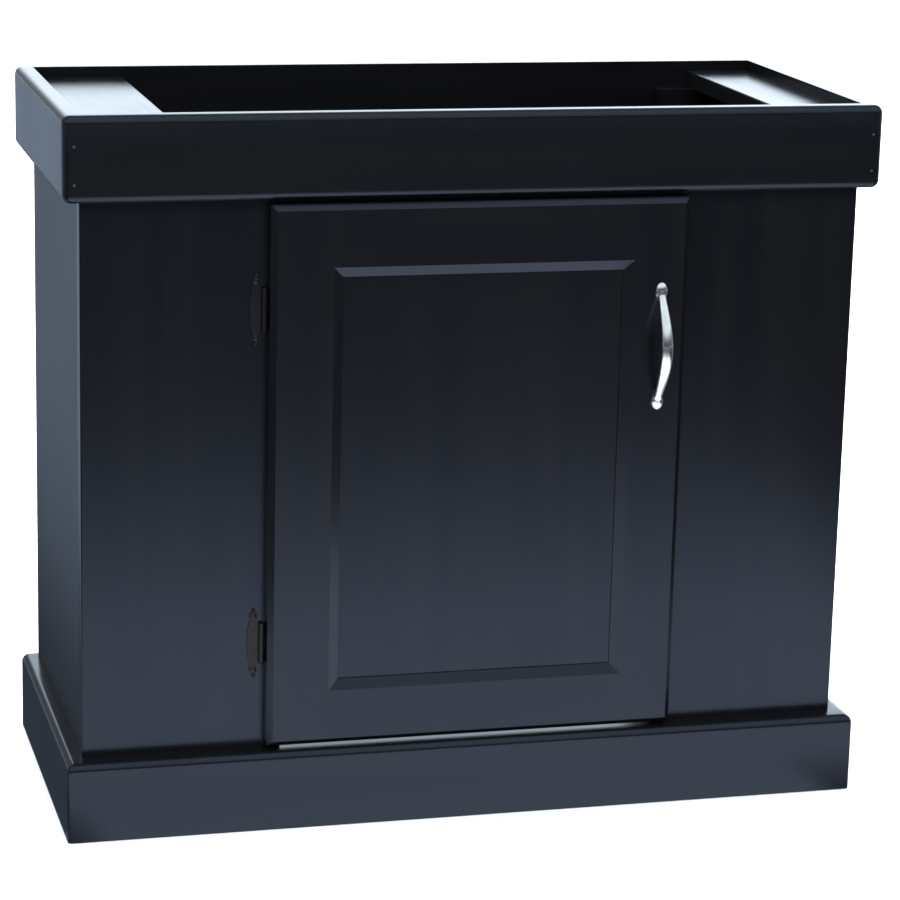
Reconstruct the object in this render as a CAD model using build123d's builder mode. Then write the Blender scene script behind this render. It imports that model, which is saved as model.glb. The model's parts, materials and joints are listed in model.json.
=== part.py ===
from build123d import *
import os
from math import asin, atan2, cos, degrees, sin

# Cabinet stand for a glass aquarium, in millimetres.
# X runs left to right, -Y is the front with the door, +Z is up.
# The origin lies on the floor under the middle of the whole stand, pull included.

os.makedirs("parts", exist_ok=True)

# ---------------------------------------------------------------- driving sizes
carcass_w = 777.0             # outside width of the side panels
carcass_d = 333.0             # front face of the stiles to back face of the side panels
overall_h = 711.0             # floor to the top of the trim
board_t = 17.5                # thickness of the carcass, deck, trim and door boards
trim_h = 82.5                 # height of the trim boards round the top
lip = 11.0                    # trim standing above the decks to hold the tank
deck_left_w = 92.5            # deck showing inside the trim, left
deck_right_w = 68.0           # deck showing inside the trim, right
plinth_h = 80.0               # height of the plinth
plinth_front_t = 25.0         # the thicker front board of the plinth
opening_w = 384.0             # door opening between the front stiles
header_h = 82.5               # rail above the door opening
rear_stile_w = 89.0
floor_t = 12.0                # loose floor panel
cleat = 18.0                  # square strip that carries the floor panel
outer_round = 8.0             # router roundover on trim and plinth
plinth_end_round = 4.0
soft_edge = 1.5               # sanded edges of the carcass

# door
door_w = 417.0
door_t = 17.5
door_gap = 2.0                # between the back of the door and the front stiles
door_head_gap = 4.5           # between the door and the trim above
door_toe_gap = 4.0            # between the door and the plinth below
member_w = 71.0               # width of the hinge stile and the top rail, moulding included
slim_member_w = 65.5          # width of the latch stile and the bottom rail
door_bevel = 5.5              # bevel round the outside of the door
moulding_w = 10.2             # sloping inner moulding, outer line to the opening
moulding_deep = 5.8           # how far the slope goes in
quirk = 1.2                   # step from the foot of the slope to the panel
panel_t = 6.0
panel_play = 0.15             # to the front face of the groove
panel_edge_play = 1.0
groove_deep = 8.0
dowel_r = 4.0
dowel_l = 30.0
dowel_pitch = 32.0

# hinges
hinge_from_end = 103.0        # door end to hinge centre
knuckle_r = 2.9
pin_r = 1.5
pin_play = 0.06
leaf_t = 1.35
barrel_l = 39.5
door_knuckle_l = 15.4
knuckle_end_play = 0.3
barrel_wall_gap = 0.3         # knuckles to the face of the stile
barrel_door_gap = 0.5         # knuckles to the edge of the door
pin_dome = 1.0
frame_wing_offset = 7.6       # barrel axis to the middle of the frame wing
frame_wing_half_w = 6.5
frame_wing_h = 56.0
screw_pad_r = 4.4
screw_pad_z = 27.5
finial_r = 1.9
finial_z = 33.2
door_wing_w = 36.0
door_wing_h = 50.0
door_wing_corner_r = 4.0

# screws and brads
wood_screw_r = 1.6
wood_screw_l = 12.0
round_head_r = 3.0
round_head_h = 1.8
flat_head_r = 2.8
countersink_angle = 90
board_screw_r = 2.0
board_screw_head_r = 4.0
board_screw_l = 30.0
brad_r = 0.8
brad_l = 38.0
brad_head_r = 1.3
brad_head_h = 0.8
brad_drop = 28.4              # top of the trim to the first brad
brad_pitch = 36.0

# pull
pull_screw_pitch = 96.0
pull_projection = 30.0
pull_drop = 147.5             # door top to the middle of the pull
pull_foot_l = 20.0
pull_foot_w = 14.0
pull_foot_h = 3.5
pull_foot_centre = 55.0       # pull middle to foot centre
pull_end_half_w = 3.0
pull_mid_half_w = 5.5
pull_end_half_t = 2.6
pull_mid_half_t = 3.8
pull_arch_half = 53.5         # pull middle to the buried ends of the grip
pull_arch_low = 1.0           # height of the grip's centre line at its ends
pull_boss_r = 4.4
pull_boss_h = 6.0
pull_boss_taper = 20
pull_foot_round = 3.2
pull_screw_r = 2.0
pull_screw_in = 6.0
pull_screw_head_r = 4.0
pull_screw_head_h = 2.6
grip_sections = 9

# magnetic catch and bumpers
catch_x = 110.0
catch_w = 46.0
catch_h = 14.0
catch_d = 16.0
catch_screw_pitch = 37.0
magnet_w = 24.0
magnet_h = 5.0
pole_t = 1.5
pole_proud = 0.5
magnet_d = 11.0
strike_w = 34.0
strike_h = 12.0
strike_t = 1.2
strike_corner_r = 2.0
bumper_r = 4.0
bumper_gap = 0.2
bumper_inset = 25.0

# ---------------------------------------------------------------- derived planes
front = (pull_projection + door_t + door_gap - carcass_d - board_t) / 2
back = front + carcass_d
half_w = carcass_w / 2
half_opening = opening_w / 2
deck_top = overall_h - lip
carcass_h = deck_top - board_t
trim_bottom = overall_h - trim_h

door_back = front - door_gap
door_front = door_back - door_t
door_bottom = plinth_h + door_toe_gap
door_top = trim_bottom - door_head_gap
door_h = door_top - door_bottom
door_mid_z = (door_top + door_bottom) / 2
door_mid_y = (door_back + door_front) / 2
inner_w = door_w - member_w - slim_member_w
inner_h = door_h - member_w - slim_member_w
inner_x = (member_w - slim_member_w) / 2
inner_z = door_mid_z - (member_w - slim_member_w) / 2
panel_depth = moulding_deep + quirk
moulding_slope = degrees(atan2(moulding_w, moulding_deep))
wing_x = -door_w / 2 - barrel_door_gap - knuckle_r - frame_wing_offset

pin_x = -door_w / 2 - barrel_door_gap - knuckle_r
pin_y = front - barrel_wall_gap - knuckle_r
hinge_heights = {"lower": door_bottom + hinge_from_end, "upper": door_top - hinge_from_end}

pull_x = door_w / 2 - (slim_member_w - moulding_w) / 2
pull_z = door_top - pull_drop
catch_z = carcass_h - header_h

sides = {"left": -1, "right": 1}

# Fixing screws run out of the carcass into the trim and the plinth. Each entry is a
# plane on the inside face of a carcass board, its normal pointing into the cabinet.
side_inner = half_w - board_t
side_fix_y = [front + carcass_d * 0.25, front + carcass_d * 0.75]
stile_fix_x = half_opening + (half_w - half_opening) / 2
trim_fix_z = (trim_bottom + carcass_h) / 2
plinth_fix_z = plinth_h / 2 - 15


def side_fixings(side, z):
    """Screw planes on the inside face of one side panel."""
    return [Plane(origin=(side * side_inner, y, z), z_dir=(-side, 0, 0)) for y in side_fix_y]


def stile_fixings(side, z):
    """Screw plane on the back face of one front stile."""
    return [Plane(origin=(side * stile_fix_x, front + board_t, z), z_dir=(0, 1, 0))]


def rear_fixings(side, z):
    """Screw plane on the inside face of one rear stile."""
    x = side * (side_inner - rear_stile_w / 2)
    return [Plane(origin=(x, back - board_t, z), z_dir=(0, -1, 0))]


trim_fixings = []
plinth_fixings = []
for side in sides.values():
    trim_fixings += side_fixings(side, trim_fix_z)
    trim_fixings += stile_fixings(side, trim_fix_z)
    trim_fixings += rear_fixings(side, trim_fix_z)
    plinth_fixings += side_fixings(side, plinth_fix_z)
    plinth_fixings += stile_fixings(side, plinth_fix_z)

# Brads go through the ends of the front and back trim boards into the side boards.
brad_x = half_w + board_t * 0.39
brad_heights = [overall_h - brad_drop, overall_h - brad_drop - brad_pitch]
front_brads = [
    Plane(origin=(side * brad_x, front - board_t, z), z_dir=(0, -1, 0))
    for side in sides.values()
    for z in brad_heights
]
back_brads = [
    Plane(origin=(side * brad_x, back + board_t, z), z_dir=(0, 1, 0))
    for side in sides.values()
    for z in brad_heights
]

# ---------------------------------------------------------------- carcass
for name, side in sides.items():
    with BuildPart() as side_panel:
        with BuildSketch(Plane.XY):
            with Locations((side * (half_w - board_t / 2), (front + board_t + back) / 2)):
                Rectangle(board_t, carcass_d - board_t)
        extrude(amount=carcass_h)
        with Locations(*side_fixings(side, trim_fix_z), *side_fixings(side, plinth_fix_z)):
            CounterSinkHole(board_screw_r, board_screw_head_r, board_t, countersink_angle)
    side_panel.part.label = f"side_panel_{name}"
    export_step(side_panel.part, f"parts/side_panel_{name}.step")

# The left stile also takes the hinge screws, as pilot holes from its front face.
hinge_screw_planes = [
    Plane(origin=(wing_x, front, z + end * screw_pad_z), z_dir=(0, -1, 0))
    for z in hinge_heights.values()
    for end in (-1, 1)
]

for name, side in sides.items():
    with BuildPart() as front_stile:
        with BuildSketch(Plane.XY):
            with Locations((side * (half_w + half_opening) / 2, front + board_t / 2)):
                Rectangle(half_w - half_opening, board_t)
        extrude(amount=carcass_h)
        outward = Axis((0, 0, 0), (side, 0, 0))
        outer_edges = front_stile.edges().filter_by(Axis.Z).sort_by(outward)[-2:]
        fillet(outer_edges.sort_by(Axis.Y)[0], radius=soft_edge)
        with Locations(*stile_fixings(side, trim_fix_z), *stile_fixings(side, plinth_fix_z)):
            CounterSinkHole(board_screw_r, board_screw_head_r, board_t, countersink_angle)
        if name == "left":
            with Locations(*hinge_screw_planes):
                Hole(wood_screw_r, depth=wood_screw_l)
    front_stile.part.label = f"front_stile_{name}"
    export_step(front_stile.part, f"parts/front_stile_{name}.step")

catch_screw_planes = [
    Plane(
        origin=(catch_x + end * catch_screw_pitch / 2, front + catch_d / 2, catch_z - catch_h),
        z_dir=(0, 0, -1),
    )
    for end in (-1, 1)
]

with BuildPart() as header_rail:
    with BuildSketch(Plane.XY.offset(catch_z)):
        with Locations((0, front + board_t / 2)):
            Rectangle(opening_w, board_t)
    extrude(amount=header_h)
    with Locations(*catch_screw_planes):
        Hole(wood_screw_r, depth=catch_h + wood_screw_l)
header_rail.part.label = "header_rail"
export_step(header_rail.part, "parts/header_rail.step")

with BuildPart() as toe_rail:
    with BuildSketch(Plane.XY):
        with Locations((0, front + board_t / 2)):
            Rectangle(opening_w, board_t)
    extrude(amount=plinth_h)
toe_rail.part.label = "toe_rail"
export_step(toe_rail.part, "parts/toe_rail.step")

for name, side in sides.items():
    with BuildPart() as rear_stile:
        with BuildSketch(Plane.XY):
            with Locations((side * (side_inner - rear_stile_w / 2), back - board_t / 2)):
                Rectangle(rear_stile_w, board_t)
        extrude(amount=carcass_h)
        with Locations(*rear_fixings(side, trim_fix_z)):
            CounterSinkHole(board_screw_r, board_screw_head_r, board_t, countersink_angle)
    rear_stile.part.label = f"rear_stile_{name}"
    export_step(rear_stile.part, f"parts/rear_stile_{name}.step")

with BuildPart() as rear_bottom_rail:
    with BuildSketch(Plane.XY):
        with Locations((0, back - board_t / 2)):
            Rectangle(2 * (side_inner - rear_stile_w), board_t)
    extrude(amount=plinth_h)
rear_bottom_rail.part.label = "rear_bottom_rail"
export_step(rear_bottom_rail.part, "parts/rear_bottom_rail.step")

with BuildPart() as floor_panel:
    with BuildSketch(Plane.XY.offset(plinth_h - floor_t)):
        with Locations((0, (front + back) / 2)):
            Rectangle(2 * side_inner, carcass_d - 2 * board_t)
    extrude(amount=floor_t)
floor_panel.part.label = "floor_panel"
export_step(floor_panel.part, "parts/floor_panel.step")

for name, side in sides.items():
    with BuildPart() as floor_cleat:
        with BuildSketch(Plane.XY.offset(plinth_h - floor_t - cleat)):
            with Locations((side * (side_inner - cleat / 2), (front + back) / 2)):
                Rectangle(cleat, carcass_d - 2 * board_t)
        extrude(amount=cleat)
    floor_cleat.part.label = f"floor_cleat_{name}"
    export_step(floor_cleat.part, f"parts/floor_cleat_{name}.step")

for name, side in sides.items():
    deck_w = deck_left_w if name == "left" else deck_right_w
    with BuildPart() as deck:
        with BuildSketch(Plane.XY.offset(carcass_h)):
            with Locations((side * (half_w - deck_w / 2), (front + back) / 2)):
                Rectangle(deck_w, carcass_d)
        extrude(amount=board_t)
        inner_edges = deck.edges().filter_by(Axis.Y).sort_by(Axis((0, 0, 0), (side, 0, 0)))[:2]
        fillet(inner_edges.sort_by(Axis.Z)[-1], radius=soft_edge)
    deck.part.label = f"deck_{name}"
    export_step(deck.part, f"parts/deck_{name}.step")

# ---------------------------------------------------------------- trim
for name, face, out, brads in (
    ("front", front, -1, front_brads),
    ("back", back, 1, back_brads),
):
    with BuildPart() as trim_long:
        with BuildSketch(Plane.XY.offset(trim_bottom)):
            with Locations((0, face + out * board_t / 2)):
                Rectangle(carcass_w + 2 * board_t, board_t)
        extrude(amount=trim_h)
        show_face = trim_long.faces().sort_by(Axis((0, 0, 0), (0, out, 0)))[-1]
        end_edges = trim_long.edges().filter_by(Axis.Y)
        fillet(show_face.edges() + end_edges, radius=outer_round)
        with Locations(*brads):
            CounterBoreHole(brad_r, brad_head_r, brad_head_h, depth=board_t)
        if name == "front":
            fixings = [p for s in sides.values() for p in stile_fixings(s, trim_fix_z)]
        else:
            fixings = [p for s in sides.values() for p in rear_fixings(s, trim_fix_z)]
        with Locations(*fixings):
            Hole(board_screw_r, depth=board_screw_l)
    trim_long.part.label = f"trim_{name}"
    export_step(trim_long.part, f"parts/trim_{name}.step")

for name, side in sides.items():
    with BuildPart() as trim_side:
        with BuildSketch(Plane.XY.offset(trim_bottom)):
            with Locations((side * (half_w + board_t / 2), (front + back) / 2)):
                Rectangle(board_t, carcass_d)
        extrude(amount=trim_h)
        long_edges = trim_side.edges().filter_by(Axis.Y).sort_by(Axis((0, 0, 0), (side, 0, 0)))[-2:]
        fillet(long_edges, radius=outer_round)
        with Locations(*front_brads, *back_brads):
            Hole(brad_r, depth=brad_l)
        with Locations(*side_fixings(side, trim_fix_z)):
            Hole(board_screw_r, depth=board_screw_l)
    trim_side.part.label = f"trim_{name}"
    export_step(trim_side.part, f"parts/trim_{name}.step")

# ---------------------------------------------------------------- plinth
with BuildPart() as plinth_front:
    with BuildSketch(Plane.XY):
        with Locations((0, front - plinth_front_t / 2)):
            Rectangle(carcass_w + 2 * board_t, plinth_front_t)
    extrude(amount=plinth_h)
    corner_edges = plinth_front.faces().sort_by(Axis.Y)[0].edges().filter_by(Axis.Z)
    fillet(corner_edges, radius=plinth_end_round)
    top_edges = plinth_front.faces().sort_by(Axis.Z)[-1].edges()
    fillet(top_edges.sort_by(Axis.Y)[:-1], radius=outer_round)
    with Locations(*[p for s in sides.values() for p in stile_fixings(s, plinth_fix_z)]):
        Hole(board_screw_r, depth=board_screw_l)
plinth_front.part.label = "plinth_front"
export_step(plinth_front.part, "parts/plinth_front.step")

for name, side in sides.items():
    with BuildPart() as plinth_side:
        with BuildSketch(Plane.XY):
            with Locations((side * (half_w + board_t / 2), (front + back) / 2)):
                Rectangle(board_t, carcass_d)
        extrude(amount=plinth_h)
        long_edges = plinth_side.edges().filter_by(Axis.Y).sort_by(Axis((0, 0, 0), (side, 0, 0)))[-2:]
        fillet(long_edges.sort_by(Axis.Z)[-1], radius=outer_round)
        with Locations(*side_fixings(side, plinth_fix_z)):
            Hole(board_screw_r, depth=board_screw_l)
    plinth_side.part.label = f"plinth_{name}"
    export_step(plinth_side.part, f"parts/plinth_{name}.step")

# ---------------------------------------------------------------- carcass fixings
def countersunk_screws(planes, shank_r, head_r, length):
    """Add a countersunk screw at each plane, its head flush and its point inside."""
    with BuildPart(mode=Mode.PRIVATE) as screw:
        with BuildSketch(Plane.XZ):
            with BuildLine():
                Polyline(
                    (0, 0),
                    (head_r, 0),
                    (shank_r, shank_r - head_r),
                    (shank_r, shank_r - length),
                    (0, -length),
                    close=True,
                )
            make_face()
        revolve(axis=Axis.Z)
    for plane in planes:
        add(plane.location * screw.part)


for label, planes in (("trim_screws", trim_fixings), ("plinth_screws", plinth_fixings)):
    with BuildPart() as fixing_group:
        countersunk_screws(planes, board_screw_r, board_screw_head_r, board_screw_l)
    fixing_group.part.label = label
    export_step(fixing_group.part, f"parts/{label}.step")

with BuildPart() as trim_brads:
    with BuildSketch(*front_brads, *back_brads):
        Circle(brad_r)
    extrude(amount=-brad_l)
    with BuildSketch(*front_brads, *back_brads):
        Circle(brad_head_r)
    extrude(amount=-brad_head_h)
trim_brads.part.label = "trim_brads"
export_step(trim_brads.part, "parts/trim_brads.step")

# ---------------------------------------------------------------- door frame and panel
stiles = {"hinge": (-1, member_w), "latch": (1, slim_member_w)}
rails = {
    "bottom": (door_bottom + slim_member_w / 2, slim_member_w),
    "top": (door_top - member_w / 2, member_w),
}
dowel_planes = [
    Plane(
        origin=(inner_x + side * (inner_w - dowel_l) / 2, door_mid_y, z + step * dowel_pitch / 2),
        z_dir=(side, 0, 0),
    )
    for side in sides.values()
    for z, _ in rails.values()
    for step in (-1, 1)
]

with BuildPart() as door_frame:
    with BuildSketch(Plane.XZ.offset(-door_back)):
        with Locations((0, door_mid_z)):
            Rectangle(door_w, door_h)
        with Locations((inner_x, inner_z)):
            Rectangle(inner_w, inner_h, mode=Mode.SUBTRACT)
    extrude(amount=door_t)
    chamfer(door_frame.faces().sort_by(Axis.Y)[0].outer_wire().edges(), length=door_bevel)
    with BuildSketch(Plane.XZ.offset(-door_front)):
        with Locations((inner_x, inner_z)):
            Rectangle(inner_w + 2 * moulding_w, inner_h + 2 * moulding_w)
    extrude(amount=-moulding_deep, taper=moulding_slope, mode=Mode.SUBTRACT)
    with BuildSketch(Plane.XZ.offset(-door_front - panel_depth)):
        with Locations((inner_x, inner_z)):
            Rectangle(inner_w + 2 * groove_deep, inner_h + 2 * groove_deep)
    extrude(amount=-panel_t - panel_play, mode=Mode.SUBTRACT)
    with BuildSketch(*dowel_planes):
        Circle(dowel_r)
    extrude(amount=dowel_l, mode=Mode.SUBTRACT)

door_wing_screw_planes = [
    Plane(origin=(pin_x + reach, door_back, z + rise), z_dir=(0, 1, 0))
    for z in hinge_heights.values()
    for reach, rise in ((door_wing_w - 8, 16), (door_wing_w - 8, -16), (door_wing_w / 2 - 2, 0))
]
pull_screw_planes = [
    Plane(origin=(pull_x, door_back, pull_z + end * pull_screw_pitch / 2), z_dir=(0, 1, 0))
    for end in (-1, 1)
]
strike_plane = Plane(
    origin=(catch_x, door_back, catch_z - catch_h / 2), x_dir=(1, 0, 0), z_dir=(0, 1, 0)
)

for name, (side, width) in stiles.items():
    with BuildPart() as door_stile:
        add(door_frame.part)
        with BuildSketch(Plane.XZ.offset(-door_back)):
            with Locations((side * (door_w - width) / 2, door_mid_z)):
                Rectangle(width, door_h)
        extrude(amount=door_t, mode=Mode.INTERSECT)
        if name == "hinge":
            with Locations(*door_wing_screw_planes):
                Hole(wood_screw_r, depth=wood_screw_l)
        else:
            with Locations(*pull_screw_planes):
                Hole(pull_screw_r, depth=door_t)
    door_stile.part.label = f"door_{name}_stile"
    export_step(door_stile.part, f"parts/door_{name}_stile.step")

for name, (z, width) in rails.items():
    with BuildPart() as door_rail:
        add(door_frame.part)
        with BuildSketch(Plane.XZ.offset(-door_back)):
            with Locations((inner_x, z)):
                Rectangle(inner_w, width)
        extrude(amount=door_t, mode=Mode.INTERSECT)
        if name == "top":
            with Locations(strike_plane):
                Hole(wood_screw_r, depth=wood_screw_l)
    door_rail.part.label = f"door_{name}_rail"
    export_step(door_rail.part, f"parts/door_{name}_rail.step")

with BuildPart() as door_panel:
    tongue = groove_deep - panel_edge_play
    with BuildSketch(Plane.XZ.offset(-door_front - panel_depth - panel_play)):
        with Locations((inner_x, inner_z)):
            Rectangle(inner_w + 2 * tongue, inner_h + 2 * tongue)
    extrude(amount=-panel_t)
door_panel.part.label = "door_panel"
export_step(door_panel.part, "parts/door_panel.step")

with BuildPart() as door_dowels:
    with BuildSketch(*dowel_planes):
        Circle(dowel_r)
    extrude(amount=dowel_l)
door_dowels.part.label = "door_dowels"
export_step(door_dowels.part, "parts/door_dowels.step")

# ---------------------------------------------------------------- hinges
for name, z in hinge_heights.items():
    with BuildPart() as frame_wing:
        with BuildSketch(Plane.XZ.offset(-front)):
            with Locations((wing_x, z)):
                Ellipse(frame_wing_half_w, frame_wing_h / 2)
            with Locations((wing_x, z - screw_pad_z), (wing_x, z + screw_pad_z)):
                Circle(screw_pad_r)
            with Locations((wing_x, z - finial_z), (wing_x, z + finial_z)):
                Circle(finial_r)
            with Locations(((pin_x + wing_x) / 2, z)):
                Rectangle(frame_wing_offset, barrel_l)
        extrude(amount=leaf_t)
        with BuildSketch(Plane.XY.offset(z - barrel_l / 2)):
            with Locations((pin_x, pin_y)):
                Circle(knuckle_r)
        extrude(amount=barrel_l)
        with BuildSketch(Plane.XY.offset(z - door_knuckle_l / 2 - knuckle_end_play)):
            with Locations((pin_x, pin_y)):
                Circle(knuckle_r + 2 * barrel_wall_gap)
        extrude(amount=door_knuckle_l + 2 * knuckle_end_play, mode=Mode.SUBTRACT)
        with BuildSketch(Plane.XY.offset(z - barrel_l / 2)):
            with Locations((pin_x, pin_y)):
                Circle(pin_r)
        extrude(amount=barrel_l, mode=Mode.SUBTRACT)
        with Locations(*[plane.offset(leaf_t) for plane in hinge_screw_planes]):
            Hole(wood_screw_r, depth=leaf_t)
    frame_wing.part.label = f"hinge_frame_wing_{name}"
    export_step(frame_wing.part, f"parts/hinge_frame_wing_{name}.step")

    with BuildPart() as door_wing:
        with BuildSketch(Plane.XZ.offset(-door_back)):
            with Locations((pin_x + door_wing_w / 2, z)):
                Rectangle(door_wing_w, door_wing_h)
            root = door_wing_h / 2 - door_knuckle_l / 2
            with Locations(*[(pin_x, z + end * (door_knuckle_l + root) / 2) for end in (-1, 1)]):
                Rectangle(2 * (knuckle_r + barrel_door_gap), root, mode=Mode.SUBTRACT)
        extrude(amount=-leaf_t)
        fillet(door_wing.edges().filter_by(Axis.Y).group_by(Axis.X)[-1], radius=door_wing_corner_r)
        with BuildSketch(Plane.XY.offset(z - door_knuckle_l / 2)):
            with Locations((pin_x, pin_y)):
                Circle(knuckle_r)
        extrude(amount=door_knuckle_l)
        with BuildSketch(Plane.XY.offset(z - door_knuckle_l / 2)):
            with Locations((pin_x, pin_y)):
                Circle(pin_r + pin_play)
        extrude(amount=door_knuckle_l, mode=Mode.SUBTRACT)
        with Locations(*[plane.offset(leaf_t) for plane in door_wing_screw_planes]):
            CounterSinkHole(wood_screw_r, flat_head_r, leaf_t, countersink_angle)
    door_wing.part.label = f"hinge_door_wing_{name}"
    export_step(door_wing.part, f"parts/hinge_door_wing_{name}.step")

    with BuildPart() as hinge_pin:
        with BuildSketch(Plane.XY.offset(z - barrel_l / 2)):
            with Locations((pin_x, pin_y)):
                Circle(pin_r)
        extrude(amount=barrel_l)
        for end in (-1, 1):
            with BuildSketch(Plane.XY.offset(z + end * barrel_l / 2)):
                with Locations((pin_x, pin_y)):
                    Circle(knuckle_r - 0.4)
            extrude(amount=end * pin_dome, taper=30)
    hinge_pin.part.label = f"hinge_pin_{name}"
    export_step(hinge_pin.part, f"parts/hinge_pin_{name}.step")

with BuildPart() as frame_wing_screws:
    with BuildSketch(*hinge_screw_planes):
        Circle(wood_screw_r)
    extrude(amount=-wood_screw_l)
    with BuildSketch(*hinge_screw_planes):
        Circle(wood_screw_r)
    extrude(amount=leaf_t)
    with BuildSketch(*[plane.offset(leaf_t) for plane in hinge_screw_planes]):
        Circle(round_head_r)
    extrude(amount=round_head_h)
    head_rims = frame_wing_screws.edges().group_by(Axis.Y)[0]
    fillet(head_rims, radius=round_head_h * 0.8)
frame_wing_screws.part.label = "hinge_frame_wing_screws"
export_step(frame_wing_screws.part, "parts/hinge_frame_wing_screws.step")

with BuildPart() as door_wing_screws:
    head_planes = [plane.offset(leaf_t) for plane in door_wing_screw_planes]
    countersunk_screws(head_planes, wood_screw_r, flat_head_r, leaf_t + wood_screw_l)
door_wing_screws.part.label = "hinge_door_wing_screws"
export_step(door_wing_screws.part, "parts/hinge_door_wing_screws.step")

# ---------------------------------------------------------------- pull
# The grip's centre line is an arc in a plane square to the door; h is the height of a
# point on it above the door's face.
arch_rise = pull_projection - pull_mid_half_t - pull_arch_low
arch_r = (pull_arch_half**2 + arch_rise**2) / (2 * arch_rise)
arch_centre_h = pull_arch_low + arch_rise - arch_r
arch_half_angle = asin(pull_arch_half / arch_r)

with BuildPart() as pull_handle:
    with BuildSketch(Plane.XZ.offset(-door_front)):
        with Locations(*[(pull_x, pull_z + end * pull_foot_centre) for end in (-1, 1)]):
            Ellipse(pull_foot_w / 2, pull_foot_l / 2)
    extrude(amount=pull_foot_h)
    fillet(pull_handle.edges().group_by(Axis.Y)[0], radius=pull_foot_round)
    with BuildSketch(Plane.XZ.offset(-door_front)):
        with Locations(*[(pull_x, pull_z + end * pull_screw_pitch / 2) for end in (-1, 1)]):
            Circle(pull_boss_r)
    extrude(amount=pull_boss_h, taper=pull_boss_taper)
    for step in range(grip_sections):
        along = 2 * step / (grip_sections - 1) - 1
        angle = along * arch_half_angle
        h = arch_centre_h + arch_r * cos(angle)
        swell = 1 - along**2
        section = Plane(
            origin=(pull_x, door_front - h, pull_z + arch_r * sin(angle)),
            x_dir=(1, 0, 0),
            z_dir=(0, sin(angle), cos(angle)),
        )
        with BuildSketch(section):
            Ellipse(
                pull_end_half_w + swell * (pull_mid_half_w - pull_end_half_w),
                pull_end_half_t + swell * (pull_mid_half_t - pull_end_half_t),
            )
    loft()
    split(bisect_by=Plane.XZ.offset(-door_front), keep=Keep.TOP)
    with BuildSketch(Plane.XZ.offset(-door_front)):
        with Locations(*[(pull_x, pull_z + end * pull_screw_pitch / 2) for end in (-1, 1)]):
            Circle(pull_screw_r)
    extrude(amount=pull_screw_in, mode=Mode.SUBTRACT)
pull_handle.part.label = "pull_handle"
export_step(pull_handle.part, "parts/pull_handle.step")

with BuildPart() as pull_screws:
    with BuildSketch(*pull_screw_planes):
        Circle(pull_screw_r)
    extrude(amount=-door_t - pull_screw_in)
    with BuildSketch(*pull_screw_planes):
        Circle(pull_screw_head_r)
    extrude(amount=pull_screw_head_h)
    fillet(pull_screws.edges().group_by(Axis.Y)[-1], radius=pull_screw_head_h / 2)
pull_screws.part.label = "pull_screws"
export_step(pull_screws.part, "parts/pull_screws.step")

# ---------------------------------------------------------------- magnetic catch
catch_mid_z = catch_z - catch_h / 2
pocket_h = magnet_h + 2 * pole_t

with BuildPart() as catch_case:
    with BuildSketch(Plane.XY.offset(catch_z)):
        with Locations((catch_x, front + catch_d / 2)):
            Rectangle(catch_w, catch_d)
    extrude(amount=-catch_h)
    fillet(catch_case.edges().filter_by(Axis.Z), radius=2)
    with BuildSketch(Plane.XZ.offset(-front)):
        with Locations((catch_x, catch_mid_z)):
            Rectangle(magnet_w, pocket_h)
    extrude(amount=-magnet_d, mode=Mode.SUBTRACT)
    with Locations(*catch_screw_planes):
        Hole(wood_screw_r, depth=catch_h)
catch_case.part.label = "catch_case"
export_step(catch_case.part, "parts/catch_case.step")

with BuildPart() as catch_magnet:
    with BuildSketch(Plane.XZ.offset(-front - pole_proud)):
        with Locations((catch_x, catch_mid_z)):
            Rectangle(magnet_w, magnet_h)
    extrude(amount=pole_proud - magnet_d)
catch_magnet.part.label = "catch_magnet"
export_step(catch_magnet.part, "parts/catch_magnet.step")

with BuildPart() as catch_pole_plates:
    pole_rise = (magnet_h + pole_t) / 2
    with BuildSketch(Plane.XZ.offset(pole_proud - front)):
        with Locations((catch_x, catch_mid_z - pole_rise), (catch_x, catch_mid_z + pole_rise)):
            Rectangle(magnet_w, pole_t)
    extrude(amount=-pole_proud - magnet_d)
catch_pole_plates.part.label = "catch_pole_plates"
export_step(catch_pole_plates.part, "parts/catch_pole_plates.step")

with BuildPart() as catch_screws:
    with BuildSketch(*catch_screw_planes):
        Circle(wood_screw_r)
    extrude(amount=-catch_h - wood_screw_l)
    with BuildSketch(*catch_screw_planes):
        Circle(round_head_r)
    extrude(amount=round_head_h)
    fillet(catch_screws.edges().group_by(Axis.Z)[0], radius=round_head_h * 0.8)
catch_screws.part.label = "catch_screws"
export_step(catch_screws.part, "parts/catch_screws.step")

with BuildPart() as strike_plate:
    with BuildSketch(strike_plane):
        RectangleRounded(strike_w, strike_h, strike_corner_r)
    extrude(amount=strike_t)
    with Locations(strike_plane.offset(strike_t)):
        CounterSinkHole(wood_screw_r, wood_screw_r + strike_t, strike_t, countersink_angle)
strike_plate.part.label = "strike_plate"
export_step(strike_plate.part, "parts/strike_plate.step")

with BuildPart() as strike_screw:
    countersunk_screws(
        [strike_plane.offset(strike_t)], wood_screw_r, wood_screw_r + strike_t, strike_t + wood_screw_l
    )
strike_screw.part.label = "strike_screw"
export_step(strike_screw.part, "parts/strike_screw.step")

# ---------------------------------------------------------------- door bumpers
with BuildPart() as door_bumpers:
    bumper_x = (half_opening + door_w / 2) / 2
    with BuildSketch(Plane.XZ.offset(-door_back)):
        with Locations((bumper_x, door_bottom + bumper_inset), (bumper_x, door_top - bumper_inset)):
            Circle(bumper_r)
    extrude(amount=bumper_gap - door_gap)
door_bumpers.part.label = "door_bumpers"
export_step(door_bumpers.part, "parts/door_bumpers.step")
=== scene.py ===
import json
import math

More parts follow.
